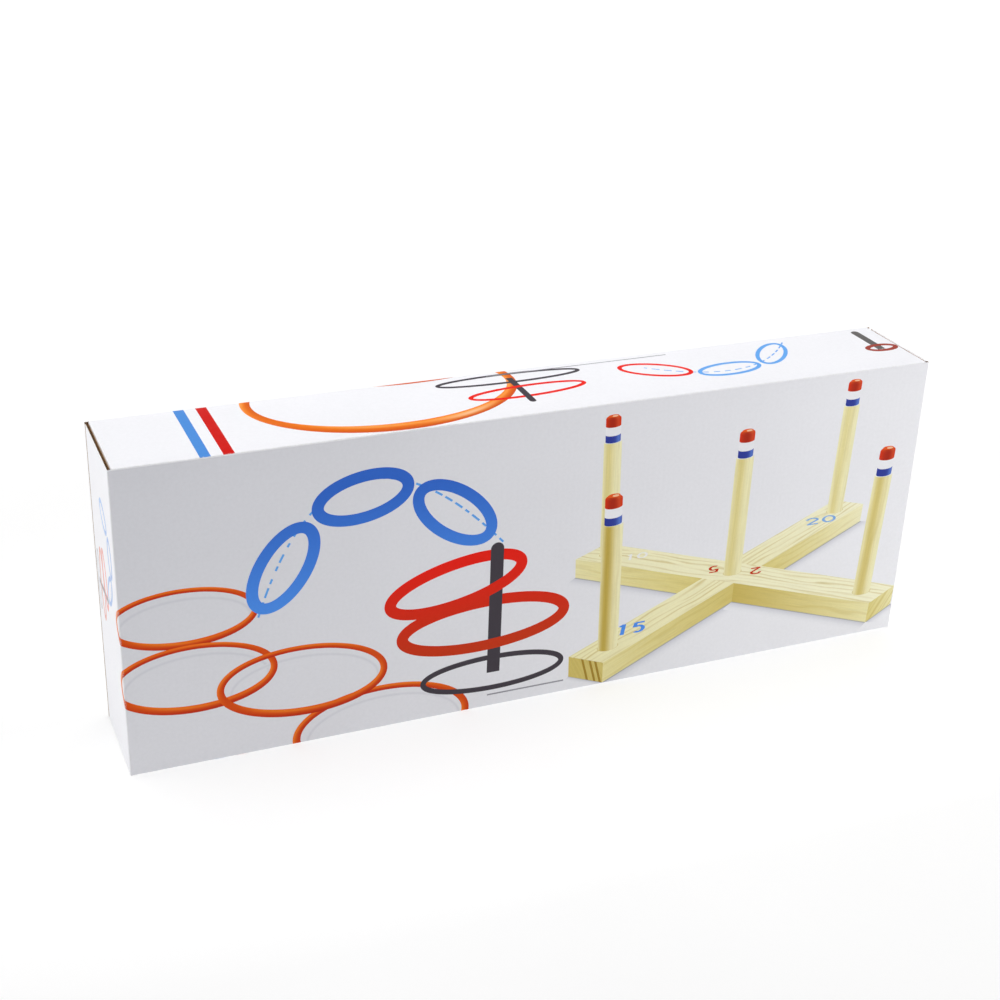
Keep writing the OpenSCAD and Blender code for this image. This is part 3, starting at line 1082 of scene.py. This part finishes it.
def print_liner(parts, sheet, art, size=28, rows=8):
    """Adds the printed liner: its face is cut along every edge of the art, so each shape is sharp
    at any distance, and it is closed by its back and its cut edges."""
    us = sheet.u_lines(size)
    columns = [sheet.v_lines(u, rows) for u in us]
    blank = Art()
    blank.grid([[(u, v) for v in column] for u, column in zip(us, columns)],
               [[WHITE] * len(column) for column in columns])
    blanks = len(blank.faces)
    bounds = us[0], us[-1], min(c[0] for c in columns), max(c[-1] for c in columns)
    faces = blank.faces + [face for face in art.faces if touches(face, *bounds)]
    corners, loops = [], []
    for points, _inks, _grains in faces:
        loops.append(list(range(len(corners), len(corners) + len(points))))
        corners += [Vector(p) for p in points]
    points, _e, triangles, _ov, _oe, owners = delaunay_2d_cdt(corners, [], loops, 1, SAME_POINT, True)
    kept = []
    for triangle, owner in zip(triangles, owners):
        if owner and min(owner) < blanks:
            spot = sum((points[i] for i in triangle), Vector((0, 0))) / 3
            printed = [i for i in owner if i >= blanks and holds(faces[i][0], spot)]
            kept.append((triangle, max(printed, default=min(owner))))
    used = sorted({i for triangle, _ in kept for i in triangle})
    layers = []
    for depth in (0.0, -LINER):
        index = {}
        for i in used:
            u, v = points[i]
            index[i] = parts.point(sheet.place(u, v, depth), (u, v, 0), sheet.wear(u, v))
        layers.append(index)
    front, back = layers
    first = [points[i] for i in kept[0][0]]
    a, b, c = (sheet.place(*point) for point in first)
    flip = (b - a).cross(c - a).dot(a - sheet.place(*first[0], -LINER)) < 0
    edges = {}
    for triangle, owner in kept:
        order = triangle[::-1] if flip else triangle
        values = [at_point(faces[owner], points[i]) for i in order]
        slot = WOOD if faces[owner][2] else INK
        parts.face([front[i] for i in order], slot, [v[0] for v in values], [v[1] for v in values])
        parts.face([back[i] for i in reversed(order)], BROWN)
        for i in range(3):
            edges[(order[i], order[(i + 1) % 3])] = True
    for i, j in edges:
        if (j, i) not in edges:
            parts.face([front[j], front[i], back[i], back[j]], CORE)


def slab(parts, rows_top, rows_low, slot):
    """A closed plate between two grids of points"""
    top = [[parts.point(p) for p in row] for row in rows_top]
    low = [[parts.point(p) for p in row] for row in rows_low]
    m, n = len(top), len(top[0])
    for i in range(m - 1):
        for j in range(n - 1):
            parts.face([top[i][j], top[i + 1][j], top[i + 1][j + 1], top[i][j + 1]], slot)
            parts.face([low[i][j], low[i][j + 1], low[i + 1][j + 1], low[i + 1][j]], slot)
    rim = ([(i, 0) for i in range(m)] + [(m - 1, j) for j in range(1, n)]
           + [(i, n - 1) for i in range(m - 2, -1, -1)] + [(0, j) for j in range(n - 2, -1, -1)])
    for (a, b), (c, d) in zip(rim, rim[1:]):
        parts.face([top[c][d], top[a][b], low[a][b], low[c][d]], slot)


PANEL_W = 100  # a sheet wider than this is a panel, and its inner liner takes longer steps


def inner_liner(parts, sheet):
    u0 = sheet.u_range[0] + sheet.inset("u0")
    u1 = sheet.u_range[1] - sheet.inset("u1")
    rows = {}
    for depth in (-BOARD + LINER, -BOARD):
        rows[depth] = []
        for u in steps_between(u0, u1, 6 if u1 - u0 < PANEL_W else 30):
            v0, v1 = sheet.v_range(u)
            lines = steps_between(v0 + sheet.inset("v0"), v1 - sheet.inset("v1"), (v1 - v0) / 6)
            if sheet.bulge == 0:
                lines = [lines[0], lines[-1]]
            rows[depth].append([sheet.place(u, v, depth) for v in lines])
    slab(parts, rows[-BOARD + LINER], rows[-BOARD], BROWN)


def flutes(parts, sheet, u_start, u_end):
    """The wavy middle of the board between two places across it"""
    middle = -BOARD / 2
    height = BOARD / 2 - LINER - FLUTE_PAPER / 2
    rows = ([], [])
    for u in steps_between(u_start, u_end, FLUTE_PITCH / 10):
        v0, v1 = sheet.v_range(u)
        wave = middle + height * math.sin(math.tau * u / FLUTE_PITCH)
        for row, depth in zip(rows, (wave + FLUTE_PAPER / 2, wave - FLUTE_PAPER / 2)):
            row.append([
                sheet.place(u, v, depth)
                for v in (v0 + sheet.inset("v0") + FLUTE_RECESS, v1 - sheet.inset("v1") - FLUTE_RECESS)
            ])
    slab(parts, *rows, BROWN)


def pinched_cut(parts, sheet, side):
    """A die-cut side where the knife has drawn the printed liner down over the cut"""
    (u0, u1), (v0, v1) = sheet.u_range, sheet.v_range(sheet.u_range[0])
    along_u = (u0 + sheet.inset("u0"), u1 - sheet.inset("u1"))
    along_v = (v0 + sheet.inset("v0"), v1 - sheet.inset("v1"))

    def row(depth, reach):
        if side in ("u0", "u1"):
            u = u0 + reach if side == "u0" else u1 - reach
            return [sheet.place(u, v, depth) for v in along_v]
        v = v0 + reach if side == "v0" else v1 - reach
        return [sheet.place(u, v, depth) for u in along_u]

    curve = ((-LINER, 0.0), (-0.8, 0.05), (-BOARD + LINER, 0.3))
    paper = 0.22
    outer, inner = ([row(depth, reach + more) for depth, reach in curve] for more in (0.0, paper))
    if side in ("u0", "v1"):
        outer, inner = inner, outer
    slab(parts, outer, inner, INK)


CARTON_NODES = frame["record"]["behaviour"]["bodies"]["carton"]


def board(name, sheet, art=None, flute_spans=(), size=28, rows=8, pinched=()):
    """One corrugated panel or flap, which stands for the CAD node of the same name"""
    parts = MeshParts()
    print_liner(parts, sheet, art or Art(), size, rows)
    inner_liner(parts, sheet)
    for side in pinched:
        pinched_cut(parts, sheet, side)
    for start, end in flute_spans:
        flutes(parts, sheet, start, end)
    piece = parts.piece(name + "_board", BOARD_MATERIALS)
    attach(piece, "carton" if name in CARTON_NODES else name)
    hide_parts(name)
    return piece


def moving_crease(name, fold, art=None):
    """The printed liner and the brown liner where a flap folds, between the two bodies"""
    parts = MeshParts()
    print_liner(parts, fold, art or Art(), rows=4)
    outer = parts.piece(name + "_crease", BOARD_MATERIALS, 60)
    middle = (fold.v0 + fold.v1) / 2
    fold.flat_end(0, CREASE, 0, middle)
    fold.flat_end(1, CREASE, 0, middle)
    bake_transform(outer)
    parts = MeshParts()
    ends = [[[fold.flat_end(which, fold.inner_reach, depth, v) for v in (fold.v0, fold.v1)]
             for which in (0, 1)] for depth in (-BOARD + LINER, -BOARD)]
    grids = [
        [[a.lerp(b, i / 6) for a, b in zip(first, second)] for i in range(7)]
        for first, second in ends
    ]
    slab(parts, grids[0], grids[1], BROWN)
    inner = parts.piece(name + "_inner_crease", BOARD_MATERIALS, 60)
    fold.flat_end(0, fold.inner_reach, -BOARD, middle)
    fold.flat_end(1, fold.inner_reach, -BOARD, middle)
    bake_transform(inner)


FRONT_ART = front_art()
TOP_ART = top_art()
# The left end's rings and sign are printed paler: a painted sheen over the end's print
LEFT_ART = tossed_rings().faded(0.3) + end_art(-1)
RIGHT_ART = end_art(1)
STRIPES = Art(TOP_ART.faces[:2])

RIGHT, UP, BACK = Vector((1, 0, 0)), Vector((0, 0, 1)), Vector((0, 1, 0))
panel_u = (0, LENGTH)
lap_u = (END_STEP, LENGTH - END_STEP)

board("front_panel", Sheet((-HALF_L, -HALF_D, HEIGHT), RIGHT, -UP, -BACK, panel_u, (0, HEIGHT),
      ("hinge", "hinge", "fixed", "fixed"), bulge=0.8), FRONT_ART)
board("back_panel", Sheet((HALF_L, HALF_D, HEIGHT), -RIGHT, -UP, BACK, panel_u, (0, HEIGHT),
      ("cut", "cut", "fixed", "cut")), FRONT_ART, [(FLUTE_PINCH_GAP, LENGTH - FLUTE_PINCH_GAP)],
      pinched=("u0", "u1"))
top_sheet = Sheet((-HALF_L, HALF_D, HEIGHT), RIGHT, -BACK, UP, lap_u, (0, DEPTH),
                  ("hinge", "hinge", "fixed", "fixed"), bulge=0.5)
board("top_panel", top_sheet, TOP_ART)
bottom_sheet = Sheet((-HALF_L, -HALF_D, 0), RIGHT, BACK, -UP, lap_u, (0, DEPTH - BOARD),
                     ("hinge", "hinge", "fixed", "fixed"))
board("bottom_panel", bottom_sheet, STRIPES)
glue_u = (glue_low.x + HALF_L, glue_high.x + HALF_L)
board("glue_flap", Sheet((-HALF_L, glue_high.y, 0), RIGHT, UP, BACK, glue_u, (0, glue_high.z),
      ("cut", "cut", "fixed", "cut")), None, [(glue_u[0] + FLUTE_GLUE_GAP, glue_u[1] - FLUTE_GLUE_GAP)])


def tab_range(fold_u):
    """The tab's top and bottom edges, with rounded outer corners"""
    def v_range(u):
        past = abs(u - fold_u) - (TAB_L - TAB_ROUND)
        drop = TAB_ROUND - math.sqrt(max(0.0, TAB_ROUND ** 2 - max(0.0, past) ** 2))
        return TAB_CUT + drop, HEIGHT - TAB_CUT - drop
    return v_range


def dust_range(fold_u, front_first):
    """A dust flap's two slanting edges. v counts from the front or from the back."""
    def v_range(u):
        away = abs(u - fold_u)
        front = DUST_FRONT + away * DUST_FRONT_SLOPE
        back = DUST_BACK + away * DUST_BACK_SLOPE
        return (front, DEPTH - back) if front_first else (back, DEPTH - front)
    return v_range


def between(a, b):
    """The range between two places, lowest first"""
    return min(a, b), max(a, b)


def end_flaps(end, side):
    """The tuck flap, its tab, the two dust flaps and their creases at one end; side is -1 or 1"""
    out, across = RIGHT * side, BACK * side
    fold_u = 0 if side < 0 else LENGTH
    flap_name, tab_name = end + "_tuck_flap", end + "_tuck_tab"
    flap_end = fold_u + side * FLAP_D
    flap_u, v_range = between(fold_u, flap_end), (FLAP_CUT, HEIGHT - FLAP_CUT)
    corner = Vector((side * HALF_L, -HALF_D, HEIGHT))
    flap = Sheet(corner - across * fold_u, across, -UP, out, flap_u, v_range,
                 ("hinge", "hinge", "cut", "cut"), bulge=0.25)
    # the left crease carries the front's painted shade under its rings
    moving_crease(flap_name, Fold(corner, -out, BACK, -UP, fold_u, -side, v_range),
                  FRONT_ART if side > 0 else painted_shade_ground() + tossed_rings())

    corner += BACK * FLAP_D
    tab_way = Vector((-side * math.cos(TAB_LEAN), -math.sin(TAB_LEAN), 0))
    tab_fold = Fold(corner, -BACK, tab_way, -UP, flap_end, -side, (TAB_CUT, HEIGHT - TAB_CUT))
    moving_crease(tab_name, tab_fold)
    flap.inner_gap = tab_fold.inner_reach
    board(flap_name, flap, LEFT_ART if side < 0 else RIGHT_ART,
          [(flap_u[0] + FLUTE_FLAP_GAP, flap_u[1] - FLUTE_FLAP_GAP)], size=12, rows=16,
          pinched=() if side < 0 else ("v0", "v1"))

    hung_sides = ("cut", "hinge", "cut", "cut") if side < 0 else ("hinge", "cut", "cut", "cut")
    tab_end = flap_end + side * TAB_L
    tab_out = Vector((-side * math.sin(TAB_LEAN), math.cos(TAB_LEAN), 0))
    tab = Sheet(corner - tab_way * side * flap_end, tab_way * side, -UP, tab_out,
                between(flap_end, tab_end), tab_range(flap_end), hung_sides)
    tab.inner_gap = tab_fold.inner_reach
    tab_flutes = between(flap_end + side * FLUTE_TAB_GAP, tab_end - side * FLUTE_CUT_GAP)
    board(tab_name, tab, None, [tab_flutes], size=1.5)

    for level, z, up, front_first in (("top", HEIGHT, -1, False), ("bottom", 0, 1, True)):
        dust_name = f"{end}_{level}_dust_flap"
        fold_u = END_STEP if side < 0 else LENGTH - END_STEP
        v_axis = BACK if front_first else -BACK
        u_axis = UP * up * side
        corner = Vector((side * FOLD_X, 0, z)) - v_axis * HALF_D
        dust_end = fold_u + side * DUST_L
        dust = Sheet(corner - u_axis * fold_u, u_axis, v_axis, out, between(fold_u, dust_end),
                     dust_range(fold_u, front_first), hung_sides)
        depth = DEPTH if level == "top" else DEPTH - BOARD
        fold = Fold(corner, -out, UP * up, v_axis, fold_u, -side, (0, depth), True)
        dust.inner_gap = fold.inner_reach
        moving_crease(dust_name, fold)
        dust_flutes = between(fold_u + side * FLUTE_DUST_GAP, dust_end - side * FLUTE_CUT_GAP)
        board(dust_name, dust, None, [dust_flutes], size=5, rows=6)


end_flaps("left", -1)
end_flaps("right", 1)

# ---------------------------------------------------------------- the game inside


def replace_rings():
    """The tossing rings: moulded tubes with a fine parting line, each a little out of round"""
    material = ring_plastic()
    around, section = 144, 20
    out_of_round, parting_line = 0.35, 0.12
    for number in range(1, 6):
        node = f"ring_{number}"
        low, high = box_mm(node)
        middle = (low + high) / 2
        tube = (high.y - low.y) / 2
        radius = (high.z - low.z) / 2 - tube
        parts = MeshParts()
        for i in range(around):
            angle = math.tau * i / around
            reach = radius - out_of_round * (1 - math.cos(2 * angle + number))
            for j in range(section):
                turn = math.tau * j / section
                size = tube if j in (0, section // 2) else tube - parting_line
                out = reach + size * math.cos(turn)
                spot = out * math.cos(angle), size * math.sin(turn), out * math.sin(angle)
                parts.point((middle + Vector(spot)) * MM)
        for i in range(around):
            for j in range(section):
                a, b = i * section + j, i * section + (j + 1) % section
                c, d = (a + section) % (around * section), (b + section) % (around * section)
                parts.face([a, b, d, c], 0)
        piece = parts.piece(f"tossing_ring_{number}", [material])
        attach(piece, "carton")
        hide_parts(node)


def replace_leaflet():
    """The rules sheet, folded in three, with its leaves standing a little apart"""
    low, high = box_mm("instruction_leaflet")
    parts = MeshParts()
    leaf, leaves, edge, most_sag = 0.14, 3, 0.4, 0.16
    thick = high.y - low.y
    columns = []
    for k in range(leaves):
        level = low.y + leaf + (thick - 2 * leaf) * k / (leaves - 1)
        along = [i / 12 for i in range(13)]
        if k % 2:
            along.reverse()
        for s in along:
            x = low.x + edge + (high.x - low.x - 2 * edge) * s
            columns.append((x, level + most_sag * math.sin(math.pi * s) * (1 - k)))
    rows = ([], [])
    for i, (x, y) in enumerate(columns):
        before, after = columns[max(0, i - 1)], columns[min(len(columns) - 1, i + 1)]
        way = Vector((after[0] - before[0], after[1] - before[1])).normalized()
        side = Vector((-way.y, way.x)) * leaf / 2
        for row, sign in zip(rows, (1, -1)):
            row.append([Vector((x + side.x * sign, y + side.y * sign, z)) * MM
                        for z in steps_between(low.z, high.z, 30)])
    slab(parts, *rows, 0)
    piece = parts.piece("folded_leaflet", [leaflet_paper()], 50)
    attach(piece, "carton")
    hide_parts("instruction_leaflet")


def stamp_numbers():
    """The score numbers on the real bars, thin prints on their upper faces, which are packed
    towards the front"""
    blue, red = score_ink("score_blue", BLUE_LOW), score_ink("score_red", RED_LOW)
    lift, pitch, figure_w, figure_h, weight = 0.03, 16, 14, 24, 3.2
    for node, marks in (
        ("base_bar_lower", (("15", -205, blue), ("20", 205, blue))),
        ("base_bar_upper", (("10", -205, blue), ("5", -27, red), ("2", 27, red), ("15", 205, blue))),
    ):
        low, high = box_mm(node)
        middle_z = (low.z + high.z) / 2
        for figures, x, ink in marks:
            art = Art()
            for i, figure in enumerate(figures):
                left = pitch * (i - len(figures) / 2)
                digit(art, figure, left, -figure_h / 2, figure_w, figure_h, weight, WHITE)
            parts = MeshParts()
            for points, _inks, _grains in art.faces:
                front = [parts.point(Vector((x + u, low.y - lift, middle_z - v)) * MM)
                         for u, v in points]
                parts.face(front[::-1], 0)
            piece = parts.piece(f"score_{figures}_{node}_{'l' if x < 0 else 'r'}", [ink])
            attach(piece, "carton")


def dress(node, material):
    materials = frame["nodes"][node].data.materials
    materials.clear()
    materials.append(material)


def dress_wood():
    """The bars and the pegs keep their CAD shapes. Each pith line, around which the grain turns, lies
    outside its piece."""
    bars = pine("pine_bars", (0.045, 0.02))
    for node in ("base_bar_lower", "base_bar_upper"):
        dress(node, bars)
    for number in range(1, 6):
        low, high = box_mm(f"peg_{number}")
        middle = (low + high) / 2 * MM
        tip_x = low.x if middle.x < 0 else high.x
        pith = middle.y + 0.02, middle.z - 0.01
        dress(f"peg_{number}", painted_peg(f"painted_peg_{number}", pith, tip_x * MM))


replace_rings()
replace_leaflet()
stamp_numbers()
dress_wood()

# ---------------------------------------------------------------- floor, lights and camera


def make_floor():
    mesh = bpy.data.meshes.new("studio_floor")
    reach = 6.0
    mesh.from_pydata([(-reach, -reach, 0), (reach, -reach, 0), (reach, reach, 0), (-reach, reach, 0)],
                     [], [(0, 1, 2, 3)])
    mesh.materials.append(studio_floor())
    floor = bpy.data.objects.new("studio_floor", mesh)
    bpy.context.scene.collection.objects.link(floor)


def softbox(name, place, target, size, power):
    data = bpy.data.lights.new(name, "AREA")
    data.shape = "RECTANGLE"
    data.size, data.size_y = size
    data.energy = power
    lamp = bpy.data.objects.new(name, data)
    lamp.location = place
    aim = Vector(target) - Vector(place)
    lamp.rotation_euler = aim.to_track_quat("-Z", "Y").to_euler()
    bpy.context.scene.collection.objects.link(lamp)


def make_lights():
    """Three softboxes, and a studio that is dim above and white along the horizon"""
    softbox("overhead", (0.0, 0.45, 2.0), (0, 0, 0.1), (2.6, 1.6), 46)
    softbox("left_side", (-2.2, 0.6, 0.8), (-0.3, 0, 0.1), (1.4, 1.4), 11)
    softbox("right_front", (1.1, -0.68, 0.34), (0.3, 0, 0.1), (0.5, 0.5), 4)
    world = bpy.data.worlds.new("studio")
    world.use_nodes = True
    tree = world.node_tree
    way = tree.nodes.new("ShaderNodeTexCoord").outputs["Generated"]
    rise = tree.nodes.new("ShaderNodeSeparateXYZ")
    tree.links.new(way, rise.inputs[0])
    strength = tree.nodes.new("ShaderNodeMapRange")
    tree.links.new(rise.outputs["Z"], strength.inputs["Value"])
    for name, value in (("From Min", 0.18), ("From Max", 0.34), ("To Min", 1.0), ("To Max", 0.03)):
        strength.inputs[name].default_value = value
    tree.links.new(strength.outputs[0], tree.nodes["Background"].inputs["Strength"])
    tree.nodes["Background"].inputs["Color"].default_value = (1.0, 1.0, 1.0, 1.0)
    bpy.context.scene.world = world


def make_camera():
    """The camera stands to the left of the front and above it, and is turned a little on its axis"""
    turn, height, roll = math.radians(-23.26), math.radians(25.87), math.radians(2.063)
    target, distance = Vector((-0.0230, 0.0, 0.1463)), 1.1972
    back = Vector((math.sin(turn) * math.cos(height), -math.cos(turn) * math.cos(height),
                   math.sin(height)))
    right = Vector((math.cos(turn), math.sin(turn), 0))
    up = back.cross(right)
    data = bpy.data.cameras.new("photo_camera")
    data.sensor_width = 36
    data.lens = 59.95
    camera = bpy.data.objects.new("photo_camera", data)
    x_axis = math.cos(roll) * right + math.sin(roll) * up
    y_axis = -math.sin(roll) * right + math.cos(roll) * up
    place = target + back * distance
    axes = Matrix((x_axis, y_axis, back)).transposed().to_4x4()
    camera.matrix_world = Matrix.Translation(place) @ axes
    bpy.context.scene.collection.objects.link(camera)
    bpy.context.scene.camera = camera


make_floor()
make_lights()
make_camera()
bpy.context.scene.view_settings.view_transform = "Standard"
